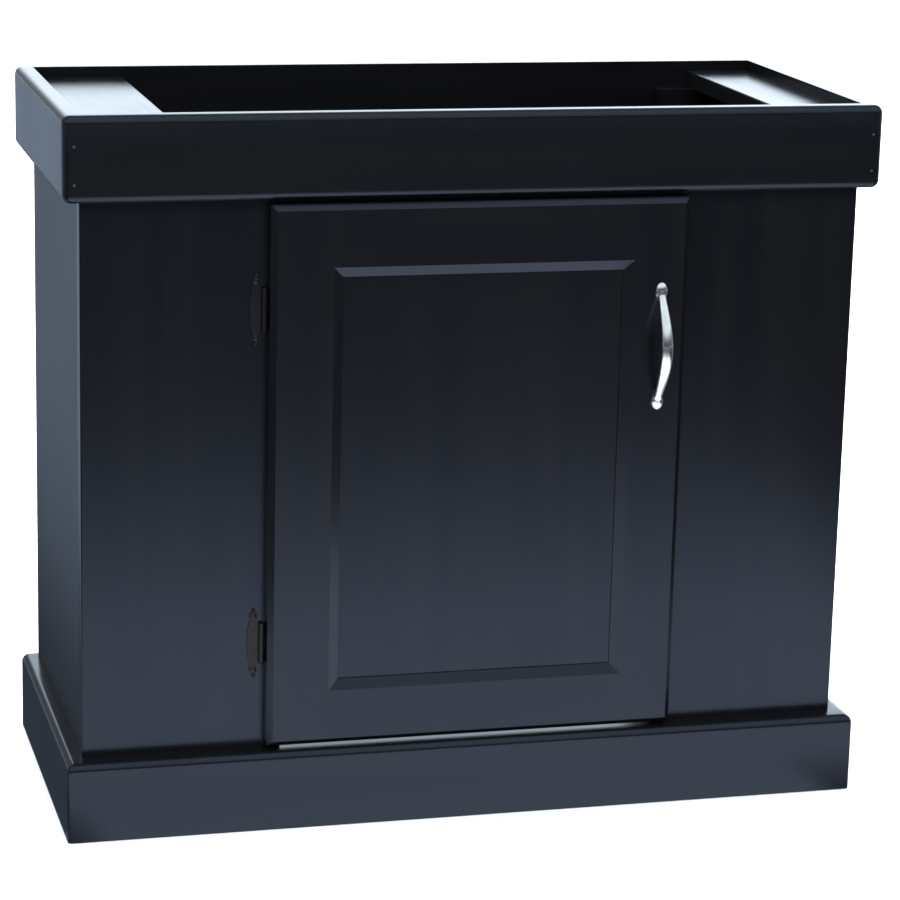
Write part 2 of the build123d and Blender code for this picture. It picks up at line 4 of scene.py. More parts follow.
import bmesh
import bpy
from bpy.props import FloatProperty, FloatVectorProperty, IntProperty, PointerProperty
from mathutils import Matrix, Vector


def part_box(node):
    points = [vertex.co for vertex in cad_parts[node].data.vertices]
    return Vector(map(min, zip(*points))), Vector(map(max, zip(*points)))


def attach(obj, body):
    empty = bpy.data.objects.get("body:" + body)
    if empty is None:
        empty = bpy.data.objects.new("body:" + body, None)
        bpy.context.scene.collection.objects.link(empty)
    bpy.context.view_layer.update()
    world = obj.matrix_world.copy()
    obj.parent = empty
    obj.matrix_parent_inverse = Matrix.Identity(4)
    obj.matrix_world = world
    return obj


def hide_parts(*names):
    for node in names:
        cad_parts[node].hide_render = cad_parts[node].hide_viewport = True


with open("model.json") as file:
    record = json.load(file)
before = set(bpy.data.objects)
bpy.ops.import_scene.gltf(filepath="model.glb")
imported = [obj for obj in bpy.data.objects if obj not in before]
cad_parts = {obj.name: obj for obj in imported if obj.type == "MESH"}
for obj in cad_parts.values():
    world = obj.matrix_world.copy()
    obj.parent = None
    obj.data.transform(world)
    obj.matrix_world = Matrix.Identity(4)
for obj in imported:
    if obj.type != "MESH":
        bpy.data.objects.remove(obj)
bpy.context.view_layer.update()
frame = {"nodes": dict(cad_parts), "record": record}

bl_info = {
    "name": "Aquarium stand",
    "version": (1, 0, 0),
    "blender": (4, 5, 0),
    "location": "3D View > Sidebar > Stand",
    "description": "Finishes and fine parts for a lacquered aquarium stand",
    "category": "Object",
}

UPRIGHT_BOARDS = (
    "front_stile_left",
    "front_stile_right",
    "rear_stile_left",
    "rear_stile_right",
    "door_hinge_stile",
    "door_latch_stile",
    "door_panel",
)
SIDE_BOARDS = ("side_panel_left", "side_panel_right")
CROSSWISE_BOARDS = (
    "trim_front",
    "trim_back",
    "plinth_front",
    "header_rail",
    "toe_rail",
    "rear_bottom_rail",
    "door_top_rail",
    "door_bottom_rail",
    "floor_panel",
)
LENGTHWISE_BOARDS = (
    "trim_left",
    "trim_right",
    "plinth_left",
    "plinth_right",
)
DECK_BOARDS = ("deck_left", "deck_right")
BARE_PINE = ("floor_cleat_left", "floor_cleat_right", "door_dowels")
ZINC_PARTS = (
    "catch_screws",
    "pull_screws",
    "trim_screws",
    "plinth_screws",
    "strike_screw",
    "catch_pole_plates",
    "strike_plate",
)


# ---------------------------------------------------------------- sizes and colours
class StandLacquer(bpy.types.PropertyGroup):
    """The black lacquer over pine."""

    colour: FloatVectorProperty(
        name="Lacquer colour",
        description="Colour of the lacquer where it lies thick",
        subtype="COLOR",
        size=3,
        default=(0.0030, 0.0032, 0.0040),
    )
    thin_colour: FloatVectorProperty(
        name="Thin lacquer colour",
        description="Colour where the grain lifts the lacquer",
        subtype="COLOR",
        size=3,
        default=(0.0044, 0.0043, 0.0048),
    )
    gloss: FloatProperty(
        name="Roughness",
        description="Roughness of the polished faces",
        default=0.2,
        min=0.0,
        max=1.0,
        subtype="FACTOR",
    )
    side_gloss: FloatProperty(
        name="Side roughness",
        description="Roughness of the side panels, which are rubbed down less",
        default=0.34,
        min=0.0,
        max=1.0,
        subtype="FACTOR",
    )
    sheen_tint: FloatVectorProperty(
        name="Sheen tint",
        description="Cool cast of the lacquer's reflections",
        subtype="COLOR",
        size=3,
        default=(0.62, 0.76, 1.0),
    )
    grain_depth: FloatProperty(
        name="Grain depth",
        description="Height of the pine grain that shows through the lacquer",
        default=0.00012,
        unit="LENGTH",
    )
    deck_grain_depth: FloatProperty(
        name="Deck grain depth",
        description="Height of the grain on the decks, which are rubbed down most",
        default=0.00004,
        unit="LENGTH",
    )


class StandHardware(bpy.types.PropertyGroup):
    """Metal, plastic and rubber of the fittings."""

    chrome: FloatVectorProperty(
        name="Chrome",
        description="Colour of the pull's plating",
        subtype="COLOR",
        size=3,
        default=(0.95, 0.94, 0.92),
    )
    hinge_black: FloatVectorProperty(
        name="Hinge black",
        description="Baked black of the hinges",
        subtype="COLOR",
        size=3,
        default=(0.005, 0.005, 0.006),
    )
    zinc: FloatVectorProperty(
        name="Zinc",
        description="Colour of the plated screws",
        subtype="COLOR",
        size=3,
        default=(0.56, 0.57, 0.60),
    )


class StandPull(bpy.types.PropertyGroup):
    """The bow pull."""

    foot_length: FloatProperty(
        name="Foot length", description="Length of each oval foot", default=0.020, unit="LENGTH"
    )
    foot_height: FloatProperty(
        name="Foot height", description="Height of each domed foot", default=0.0058, unit="LENGTH"
    )
    grip_width: FloatProperty(
        name="Grip width", description="Width of the grip at its middle", default=0.0124, unit="LENGTH"
    )
    grip_thickness: FloatProperty(
        name="Grip thickness",
        description="Thickness of the grip at its middle",
        default=0.0076,
        unit="LENGTH",
    )
    grip_end_width: FloatProperty(
        name="Neck width",
        description="Width of the grip where it meets a foot",
        default=0.0074,
        unit="LENGTH",
    )
    grip_end_thickness: FloatProperty(
        name="Neck thickness",
        description="Thickness of the grip where it meets a foot",
        default=0.0060,
        unit="LENGTH",
    )
    grip_half_length: FloatProperty(
        name="Grip half length",
        description="From the middle of the pull to the buried end of the grip",
        default=0.0570,
        unit="LENGTH",
    )
    grip_low: FloatProperty(
        name="Grip end height",
        description="Height of the grip's middle line at its buried end",
        default=0.001,
        unit="LENGTH",
    )
    bow: FloatProperty(
        name="Bow",
        description="How flat the grip runs into its feet; 1 is a plain parabola",
        default=1.5,
        min=1.0,
    )
    grip_steps: IntProperty(name="Grip steps", description="Rings along the grip", default=33, min=5)
    flow_steps: IntProperty(
        name="Flow", description="How far the grip is blended into the feet", default=80, min=0
    )


class StandScrews(bpy.types.PropertyGroup):
    """The hinge screws."""

    head_width: FloatProperty(
        name="Head width", description="Width of the round heads", default=0.006, unit="LENGTH"
    )
    head_height: FloatProperty(
        name="Head height", description="Height of the round heads", default=0.0018, unit="LENGTH"
    )
    shank_width: FloatProperty(
        name="Shank width", description="Width of the shanks", default=0.0032, unit="LENGTH"
    )
    recess_length: FloatProperty(
        name="Recess length",
        description="Length of each arm of the cross, end to end",
        default=0.0032,
        unit="LENGTH",
    )
    recess_width: FloatProperty(
        name="Recess width", description="Width of each arm of the cross", default=0.0007, unit="LENGTH"
    )
    recess_depth: FloatProperty(
        name="Recess depth", description="Depth of the cross", default=0.0009, unit="LENGTH"
    )
    pad_pitch: FloatProperty(
        name="Pad pitch",
        description="From one screw of a wing to the other",
        default=0.055,
        unit="LENGTH",
    )


class StandHinges(bpy.types.PropertyGroup):
    """The frame wings of the hinges."""

    wing_width: FloatProperty(
        name="Wing width", description="Width of a frame wing's oval", default=0.013, unit="LENGTH"
    )
    wing_thickness: FloatProperty(
        name="Wing thickness",
        description="Thickness of the stamped wing",
        default=0.00135,
        unit="LENGTH",
    )
    bead_width: FloatProperty(
        name="Bead width",
        description="Width of the bead on each finial",
        default=0.0038,
        unit="LENGTH",
    )
    bead_height: FloatProperty(
        name="Bead height", description="How far the bead stands out", default=0.0011, unit="LENGTH"
    )


class StandStudio(bpy.types.PropertyGroup):
    """Floor, lights and camera."""

    floor_colour: FloatVectorProperty(
        name="Floor colour",
        description="Colour of the studio floor",
        subtype="COLOR",
        size=3,
        default=(0.82, 0.82, 0.83),
    )
    overhead_power: FloatProperty(
        name="Overhead power",
        description="Power of the large soft box over the stand",
        default=115.0,
        unit="POWER",
    )
    rear_power: FloatProperty(
        name="Rear power",
        description="Power of the soft box that whitens the floor behind",
        default=420.0,
        unit="POWER",
    )
    front_power: FloatProperty(
        name="Front power",
        description="Power of the soft box that whitens the floor in front",
        default=110.0,
        unit="POWER",
    )
    sky: FloatProperty(
        name="Room light",
        description="Brightness of the room round the stand",
        default=0.30,
    )
    front_sky: FloatProperty(
        name="Front light",
        description="Brightness of the room high up in front of the stand",
        default=0.9,
    )
    backdrop: FloatProperty(
        name="Backdrop light",
        description="Brightness of the room low down behind the stand",
        default=2.3,
    )
    card_near: FloatVectorProperty(
        name="Card, near",
        description="Light of the reflector card close to the stand",
        subtype="COLOR",
        size=3,
        default=(0.77, 0.80, 0.88),
    )
    card_far: FloatVectorProperty(
        name="Card, far",
        description="Light of the reflector card far from the stand",
        subtype="COLOR",
        size=3,
        default=(0.02, 0.02, 0.025),
    )
    card_side_near: FloatVectorProperty(
        name="Side card, near",
        description="Light of the reflector card beside the stand, close to it",
        subtype="COLOR",
        size=3,
        default=(0.03, 0.04, 0.055),
    )
    card_side_far: FloatVectorProperty(
        name="Side card, far",
        description="Light of the reflector card beside the stand, far from it",
        subtype="COLOR",
        size=3,
        default=(0.18, 0.222, 0.29),
    )
    camera_place: FloatVectorProperty(
        name="Camera place",
        description="Where the camera stands",
        subtype="TRANSLATION",
        unit="LENGTH",
        size=3,
        default=(-0.7928, -3.0368, 1.1339),
    )
    camera_turn: FloatVectorProperty(
        name="Camera turn",
        description="Which way the camera looks",
        subtype="EULER",
        unit="ROTATION",
        size=3,
        default=(math.radians(75.727), math.radians(-1.356), math.radians(-14.563)),
    )
    lens: FloatProperty(
        name="Lens",
        description="Focal length in millimetres on a 36 mm wide sensor",
        default=125.5,
    )


# Spans of a noise's grey value that are stretched over a material's range.
WIDE_SPAN = (0.3, 0.7)
CLOUD_SPAN = (0.35, 0.7)
MARK_SPAN = (0.4, 0.7)
FIGURE_SPAN = (0.42, 0.66)
RIPPLE_SPAN = (0.35, 0.65)

# Scales of the wood's patterns, along the grain and across it.
LACQUER_FIBRES = (4.0, 190.0)
LACQUER_FIGURE = (1.1, 16.0)
PINE_FIBRES = (8.0, 400.0)
PINE_RINGS = (1.2, 55.0)
RIPPLE_SCALE = 7.0

# What the patterns add to the lacquer's roughness, and how high its fibres and figure
# stand beside its ripple.
FIBRE_ROUGHNESS = (-0.008, 0.012)
RIPPLE_ROUGHNESS = (-0.01, 0.015)
FIBRE_HEIGHT = 0.22
FIGURE_HEIGHT = 0.15
LACQUER_IOR = 1.5

EARLY_WOOD = (0.62, 0.42, 0.22)
LATE_WOOD = (0.40, 0.22, 0.09)
PINE_ROUGHNESS = (0.55, 0.75)
PINE_DEPTH = 0.0002

# Handling marks on metal, larger than the specks: the scale of their noise as a share of
# the specks', how much darker they are, and what they make of the roughness.
MARK_SCALE = 0.08
MARK_SHADE = 0.86
MARK_ROUGHNESS = (0.8, 1.35)
IRON_SPECKS = 700.0
IRON_DEPTH = 0.00005
BRAD_GREY = (0.030, 0.030, 0.033)

# Moulded plastic: its lighter clouds, how far its roughness goes up and down, and its
# pebbled skin.
CLOUD_SCALE = 90.0
CLOUD_GAIN = 1.35
CLOUD_LIFT = 0.004
CLOUD_ROUGHNESS = 0.06
PEBBLE_SCALE = 1500.0
PEBBLE_DEPTH = 0.00004
FERRITE_GREY = (0.030, 0.030, 0.032)
CATCH_BLACK = (0.020, 0.020, 0.020)
BUMPER_WHITE = (0.62, 0.62, 0.58)

# How close two corners are merged, and the angles over which an edge is shaded sharp.
MERGE_DISTANCE = 0.000002
BOARD_CREASE = math.radians(28)
PULL_CREASE = math.radians(50)
SCREW_CREASE = math.radians(35)

# The pull's skin: the size of its cells, how hard each pass smooths it, and how far its
# flat back stays off the door.
SKIN_CELL = 0.0005
FLOW_FACTOR = 0.5
BACK_GAP = 0.00005
GRIP_SIDES = 24

# The hinge screws: the turn in degrees of the first cross and from each to the next, how
# far the cutter stands out as a share of the cross's depth, where the shank starts as a
# share of the head's height, and its tip as a share of its width.
FIRST_LEAN = 17
LEAN_STEP = 31
CUTTER_PROUD = 0.3
SHANK_START = 0.9
SHANK_TIP = 1 / 3
SHANK_SIDES = 24

# How the reflector card fades: distance from the stand's middle, and how far towards
# the far colour it has gone by there.
CARD_REACH = 4.0
CARD_STOPS = ((0.0, 0.0), (0.8, 0.02), (1.1, 0.32), (1.5, 0.80), (2.0, 0.90), (2.7, 0.98), (4.0, 1.0))

# The card's size, height and light, and the distances over which its side part brightens,
# its front part fades out sideways, and the side part takes over from the front part.
CARD_SIZE = 16.0
CARD_HEIGHT = 0.001
CARD_STRENGTH = 1.9
SIDE_CARD_X = (0.54, 0.62)
FRONT_CARD_X = (0.65, 1.0)
SIDE_ZONE_X = (0.36, 0.40)
SIDE_ZONE_Y = (-0.32, -0.14)

FLOOR_SIZE = 40.0
FLOOR_CLOUDS = 2.0
FLOOR_SHADE = 0.985
FLOOR_ROUGHNESS = 0.9
FLOOR_SHEEN = 0.1

# The room, by the direction looked in. The backdrop lies behind, low and to the right, with
# more light further right. The front light lies in front and high. The rest dims forwards.
BACKDROP_Y = (0.35, 0.85)
BACKDROP_Z = (0.25, 0.6)
BACKDROP_X = (-0.14, 0.02)
FAR_BACKDROP_X = (0.18, 0.36)
FAR_BACKDROP_GAIN = 0.22
FRONT_Y = (-0.2, 0.2)
FRONT_Z = (0.22, 0.50)
ROOM_Y = (-0.75, 0.1)
ROOM_DIM = 0.2
ROOM_COLOUR = (0.80, 0.90, 1.0, 1.0)

SENSOR_WIDTH = 36.0
CLIP_END = 200.0


# ---------------------------------------------------------------- node helpers
def new_material(name, kind="ShaderNodeBsdfPrincipled"):
    """A material with an empty tree, its shader and its output."""
    material = bpy.data.materials.new(name)
    material.use_nodes = True
    tree = material.node_tree
    tree.nodes.clear()
    output = tree.nodes.new("ShaderNodeOutputMaterial")
    shader = tree.nodes.new(kind)
    tree.links.new(shader.outputs[0], output.inputs["Surface"])
    return material, tree, shader


def coordinate_parts(tree, kind):
    """The X, Y and Z of one kind of coordinate."""
    coordinates = tree.nodes.new("ShaderNodeTexCoord")
    parts = tree.nodes.new("ShaderNodeSeparateXYZ")
    tree.links.new(coordinates.outputs[kind], parts.inputs["Vector"])
    return parts.outputs["X"], parts.outputs["Y"], parts.outputs["Z"]


def noise(tree, scale, detail, roughness=0.5, distortion=0.0, stretch=(1.0, 1.0, 1.0)):
    """A noise's grey value on Object coordinates, which may be stretched along one axis."""
    coordinates = tree.nodes.new("ShaderNodeTexCoord")
    mapping = tree.nodes.new("ShaderNodeMapping")
    mapping.inputs["Scale"].default_value = stretch
    tree.links.new(coordinates.outputs["Object"], mapping.inputs["Vector"])
    texture = tree.nodes.new("ShaderNodeTexNoise")
    texture.inputs["Scale"].default_value = scale
    texture.inputs["Detail"].default_value = detail
    texture.inputs["Roughness"].default_value = roughness
    texture.inputs["Distortion"].default_value = distortion
    tree.links.new(mapping.outputs["Vector"], texture.inputs["Vector"])
    return texture.outputs["Fac"]


def grain(axis, scales):
    """A noise's stretch that follows the grain along one axis."""
    lengthwise, across = scales
    return tuple(lengthwise if letter == axis else across for letter in "XYZ")


def remap(tree, value, span, result=(0.0, 1.0)):
    """Stretch a grey value from one range to another."""
    node = tree.nodes.new("ShaderNodeMapRange")
    for end, number in zip(("From Min", "From Max", "To Min", "To Max"), (*span, *result)):
        node.inputs[end].default_value = number
    tree.links.new(value, node.inputs["Value"])
    return node.outputs["Result"]


def arithmetic(tree, operation, first, second=0.0):
    """One Math node; the second input may be a number."""
    node = tree.nodes.new("ShaderNodeMath")
    node.operation = operation
    tree.links.new(first, node.inputs[0])
    if isinstance(second, float):
        node.inputs[1].default_value = second
    else:
        tree.links.new(second, node.inputs[1])
    return node.outputs["Value"]


def blend(tree, factor, first, second):
    """Mix two colours by a grey value; each may be a tuple or a node's output."""
    node = tree.nodes.new("ShaderNodeMix")
    node.data_type = "RGBA"
    tree.links.new(factor, node.inputs["Factor"])
    for letter, value in (("A", first), ("B", second)):
        if isinstance(value, tuple):
            node.inputs[letter].default_value = (*value, 1.0)
        else:
            tree.links.new(value, node.inputs[letter])
    return node.outputs["Result"]


def wire_surface(tree, shader, tint, roughness, height, depth):
    """Feed a shader its colour, its roughness and a height for its normal."""
    tree.links.new(tint, shader.inputs["Base Color"])
    tree.links.new(roughness, shader.inputs["Roughness"])
    node = tree.nodes.new("ShaderNodeBump")
    node.inputs["Distance"].default_value = depth
    tree.links.new(height, node.inputs["Height"])
    tree.links.new(node.outputs["Normal"], shader.inputs["Normal"])


# ---------------------------------------------------------------- modelling helpers
BODY_OF = {
    node: body for body, nodes in frame["record"]["behaviour"]["bodies"].items() for node in nodes
}


def only(piece):
    """Select one object and nothing else."""
    bpy.ops.object.select_all(action="DESELECT")
    piece.select_set(True)
    bpy.context.view_layer.objects.active = piece


def apply_modifiers(piece):
    """Apply every modifier of a piece, in order."""
    only(piece)
    for modifier in list(piece.modifiers):
        bpy.ops.object.modifier_apply(modifier=modifier.name)


def settle(piece):
    """Put a piece's place into its mesh."""
    only(piece)
    bpy.ops.object.transform_apply(location=True, rotation=True, scale=True)


def dress(node, material):
    """Give a CAD node one material."""
    slots = frame["nodes"][node].data.materials
    slots.clear()
    slots.append(material)


def stand_for(piece, node, material):
    """Let a finished piece stand for a CAD node, on that node's body."""
    piece.data.materials.clear()
    piece.data.materials.append(material)
    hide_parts(node)
    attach(piece, BODY_OF[node])


def merged_copy(node):
    """Copy a CAD node, merge its loose triangles and shade its flats flat."""
    mesh = frame["nodes"][node].data.copy()
    piece = bpy.data.objects.new(node + "_merged", mesh)
    bpy.context.scene.collection.objects.link(piece)
    only(piece)
    bpy.ops.mesh.customdata_custom_splitnormals_clear()
    bpy.ops.object.mode_set(mode="EDIT")
    bpy.ops.mesh.select_all(action="SELECT")
    bpy.ops.mesh.remove_doubles(threshold=MERGE_DISTANCE)
    bpy.ops.mesh.mark_sharp(clear=True)
    bpy.ops.object.mode_set(mode="OBJECT")
    bpy.ops.object.shade_smooth_by_angle(angle=BOARD_CREASE)
    return piece


def ball(place, radii, segments):
    """A ball squashed to three radii."""
    bpy.ops.mesh.primitive_uv_sphere_add(
        segments=segments, ring_count=segments // 2, radius=1.0, location=place
    )
    piece = bpy.context.object
    piece.scale = radii
    settle(piece)
    return piece


def cut_back(piece, y):
    """Cut off what lies behind y, close the cut and turn the faces outwards."""
    only(piece)
    bpy.ops.object.mode_set(mode="EDIT")
    bpy.ops.mesh.select_all(action="SELECT")
    bpy.ops.mesh.bisect(
        plane_co=(0.0, y, 0.0), plane_no=(0.0, 1.0, 0.0), use_fill=True, clear_outer=True
    )
    bpy.ops.mesh.select_all(action="SELECT")
    bpy.ops.mesh.normals_make_consistent(inside=False)
    bpy.ops.object.mode_set(mode="OBJECT")


def join(pieces, name):
    """Join objects into the first of them."""
    bpy.ops.object.select_all(action="DESELECT")
    for piece in pieces:
        piece.select_set(True)
    bpy.context.view_layer.objects.active = pieces[0]
    bpy.ops.object.join()
    pieces[0].name = name
    return pieces[0]


def carve(piece, cutter):
    """Cut one object out of another and delete the cutter."""
    cut = piece.modifiers.new("cut", "BOOLEAN")
    cut.operation = "DIFFERENCE"
    cut.solver = "EXACT"
    cut.object = cutter
    apply_modifiers(piece)
    bpy.data.objects.remove(cutter)


# ---------------------------------------------------------------- finishes
def lacquer_material(name, axis, roughness, grain_depth, settings):
    """Gloss black lacquer whose pine grain runs along one axis."""
    material, tree, shader = new_material(name)
    fibres = noise(tree, 1.0, detail=5.0, roughness=0.6, stretch=grain(axis, LACQUER_FIBRES))
    figure = noise(tree, 1.0, detail=3.0, distortion=1.4, stretch=grain(axis, LACQUER_FIGURE))
    ripple = noise(tree, RIPPLE_SCALE, detail=2.0)
    thin = remap(tree, figure, FIGURE_SPAN)
    tint = blend(tree, thin, tuple(settings.colour), tuple(settings.thin_colour))
    sheen = arithmetic(
        tree,
        "ADD",
        remap(tree, fibres, WIDE_SPAN, [roughness + change for change in FIBRE_ROUGHNESS]),
        remap(tree, ripple, RIPPLE_SPAN, RIPPLE_ROUGHNESS),
    )
    fibre_height = arithmetic(tree, "MULTIPLY", fibres, FIBRE_HEIGHT)
    figure_height = arithmetic(tree, "MULTIPLY", figure, FIGURE_HEIGHT)
    height = arithmetic(tree, "ADD", fibre_height, arithmetic(tree, "ADD", figure_height, ripple))
    wire_surface(tree, shader, tint, sheen, height, grain_depth)
    shader.inputs["IOR"].default_value = LACQUER_IOR
    shader.inputs["Specular Tint"].default_value = (*settings.sheen_tint, 1.0)
    return material


def pine_material(name, axis):
    """Bare planed pine."""
    material, tree, shader = new_material(name)
    rings = noise(tree, 1.0, detail=4.0, roughness=0.55, distortion=1.0, stretch=grain(axis, PINE_RINGS))
    fibres = noise(tree, 1.0, detail=4.0, roughness=0.6, stretch=grain(axis, PINE_FIBRES))
    tint = blend(tree, remap(tree, rings, CLOUD_SPAN), EARLY_WOOD, LATE_WOOD)
    wire_surface(tree, shader, tint, remap(tree, fibres, WIDE_SPAN, PINE_ROUGHNESS), fibres, PINE_DEPTH)
    return material


def metal_material(name, colour, roughness, metallic, speck_scale=900.0, depth=0.00003, sheen=0.5):
    """Metal with faint handling marks in its colour and roughness."""
    material, tree, shader = new_material(name)
    specks = noise(tree, speck_scale, detail=4.0, roughness=0.6)
    marks = noise(tree, speck_scale * MARK_SCALE, detail=3.0, roughness=0.6, distortion=0.6)
    darker = tuple(channel * MARK_SHADE for channel in colour)
    tint = blend(tree, remap(tree, marks, MARK_SPAN), tuple(colour), darker)
    dullness = remap(tree, marks, WIDE_SPAN, [roughness * change for change in MARK_ROUGHNESS])
    wire_surface(tree, shader, tint, dullness, specks, depth)
    shader.inputs["Metallic"].default_value = metallic
    shader.inputs["Specular IOR Level"].default_value = sheen
    return material


def plastic_material(name, colour, roughness):
    """Moulded plastic with a fine spark-eroded texture."""
    material, tree, shader = new_material(name)
    pebbles = noise(tree, PEBBLE_SCALE, detail=2.0)
    clouds = noise(tree, CLOUD_SCALE, detail=3.0)
    lighter = tuple(min(1.0, channel * CLOUD_GAIN + CLOUD_LIFT) for channel in colour)
    tint = blend(tree, remap(tree, clouds, CLOUD_SPAN), colour, lighter)
    ends = (roughness - CLOUD_ROUGHNESS, roughness + CLOUD_ROUGHNESS)
    wire_surface(tree, shader, tint, remap(tree, clouds, WIDE_SPAN, ends), pebbles, PEBBLE_DEPTH)
    return material


# ---------------------------------------------------------------- operators
class STAND_OT_lacquer_boards(bpy.types.Operator):
    """Lacquer every board, each with its grain along its length"""

    bl_idname = "stand.lacquer_boards"
    bl_label = "Lacquer the boards"

    def execute(self, context):
        settings = context.scene.stand_lacquer
        for label, axis, roughness, depth, boards in (
            ("lacquer_upright", "Z", settings.gloss, settings.grain_depth, UPRIGHT_BOARDS),
            ("lacquer_side_panel", "Z", settings.side_gloss, settings.grain_depth, SIDE_BOARDS),
            ("lacquer_crosswise", "X", settings.gloss, settings.grain_depth, CROSSWISE_BOARDS),
            ("lacquer_lengthwise", "Y", settings.gloss, settings.grain_depth, LENGTHWISE_BOARDS),
            ("lacquer_deck", "Y", settings.gloss, settings.deck_grain_depth, DECK_BOARDS),
        ):
            material = lacquer_material(label, axis, roughness, depth, settings)
            for board in boards:
                piece = merged_copy(board)
                stand_for(piece, board, material)
        return {"FINISHED"}


class STAND_OT_bare_pine(bpy.types.Operator):
    """Leave the cleats and dowels as bare pine"""

    bl_idname = "stand.bare_pine"
    bl_label = "Bare pine"

    def execute(self, context):
        lengthwise = pine_material("bare_pine_lengthwise", "Y")
        crosswise = pine_material("bare_pine_dowel", "X")
        for piece in BARE_PINE:
            dress(piece, crosswise if piece == "door_dowels" else lengthwise)
        return {"FINISHED"}


class STAND_OT_fittings(bpy.types.Operator):
    """Finish the screws, brads, catch and bumpers"""

    bl_idname = "stand.fittings"
    bl_label = "Finish the fittings"

    def execute(self, context):
        settings = context.scene.stand_hardware
        iron = metal_material(
            "door_wing_screw_black",
            settings.hinge_black,
            roughness=0.28,
            metallic=0.0,
            speck_scale=IRON_SPECKS,
            depth=IRON_DEPTH,
        )
        dress("hinge_door_wing_screws", iron)
        zinc = metal_material("zinc_plate", settings.zinc, roughness=0.3, metallic=1.0)
        for piece in ZINC_PARTS:
            dress(piece, zinc)
        dress("trim_brads", metal_material("brad_heads", BRAD_GREY, roughness=0.5, metallic=0.0))
        dress("catch_magnet", plastic_material("ferrite_magnet", FERRITE_GREY, roughness=0.6))
        dress("catch_case", plastic_material("catch_plastic", CATCH_BLACK, roughness=0.45))
        dress("door_bumpers", plastic_material("bumper_rubber", BUMPER_WHITE, roughness=0.4))
        return {"FINISHED"}


class STAND_OT_bow_pull(bpy.types.Operator):
    """Model the bow pull, its grip flowing into two domed feet"""

    bl_idname = "stand.bow_pull"
    bl_label = "Bow pull"

    def execute(self, context):
        settings = context.scene.stand_pull
        low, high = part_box("pull_handle")
        middle_x = (low[0] + high[0]) / 2
        middle_z = (low[2] + high[2]) / 2
        door_face = high[1]
        foot_radii = ((high[0] - low[0]) / 2, settings.foot_height, settings.foot_length / 2)
        pieces = [self.grip(middle_x, middle_z, door_face, high[1] - low[1], settings)]
        for end in (-1, 1):
            foot_z = middle_z + end * ((high[2] - low[2]) / 2 - settings.foot_length / 2)
            pieces.append(ball((middle_x, door_face, foot_z), foot_radii, segments=48))
        pull = join(pieces, "bow_pull")
        skin = pull.modifiers.new("skin", "REMESH")
        skin.mode = "VOXEL"
        skin.voxel_size = SKIN_CELL
        flow = pull.modifiers.new("flow", "SMOOTH")
        flow.factor = FLOW_FACTOR
        flow.iterations = settings.flow_steps
        apply_modifiers(pull)
        cut_back(pull, door_face - BACK_GAP)
        bpy.ops.object.shade_smooth_by_angle(angle=PULL_CREASE)
        plating = context.scene.stand_hardware.chrome
        chrome = metal_material("pull_chrome", plating, roughness=0.2, metallic=1.0)
        stand_for(pull, "pull_handle", chrome)
        return {"FINISHED"}

    def grip(self, x, z, door_face, reach, settings):
        """An oval ring extruded along a bow, fattest in the middle."""
        rise = reach - settings.grip_thickness / 2 - settings.grip_low
        half_length = settings.grip_half_length
        end_width, end_thickness = settings.grip_end_width / 2, settings.grip_end_thickness / 2
        more_width = (settings.grip_width - settings.grip_end_width) / 2
        more_thickness = (settings.grip_thickness - settings.grip_end_thickness) / 2
        bpy.ops.mesh.primitive_circle_add(
            vertices=GRIP_SIDES, radius=1.0, fill_type="NGON", location=(0.0, 0.0, 0.0)
        )
        grip = bpy.context.object
        bpy.ops.object.mode_set(mode="EDIT")
        for step in range(settings.grip_steps):
            if step:
                bpy.ops.mesh.extrude_region_move(TRANSFORM_OT_translate={"value": (0.0, 0.0, 1.0)})
            mesh = bmesh.from_edit_mesh(grip.data)
            ring = [vertex for vertex in mesh.verts if vertex.select]
            if not step:
                turns = [math.atan2(vertex.co.y, vertex.co.x) for vertex in ring]
            place = 2 * step / (settings.grip_steps - 1) - 1
            swell = 1 - place**2
            half_width = end_width + swell * more_width
            half_thickness = end_thickness + swell * more_thickness
            height = settings.grip_low + rise * swell**settings.bow
            slope = -2 * settings.bow * rise * place * swell ** (settings.bow - 1) / half_length
            centre = Vector((x, door_face - height, z + half_length * place))
            outward = Vector((0.0, -1.0, -slope)).normalized()
            for vertex, turn in zip(ring, turns):
                sideways = Vector((half_width * math.cos(turn), 0.0, 0.0))
                vertex.co = centre + sideways + outward * (half_thickness * math.sin(turn))
            bmesh.update_edit_mesh(grip.data)
        bpy.ops.mesh.select_all(action="SELECT")
        bpy.ops.mesh.normals_make_consistent(inside=False)
        bpy.ops.object.mode_set(mode="OBJECT")
        return grip


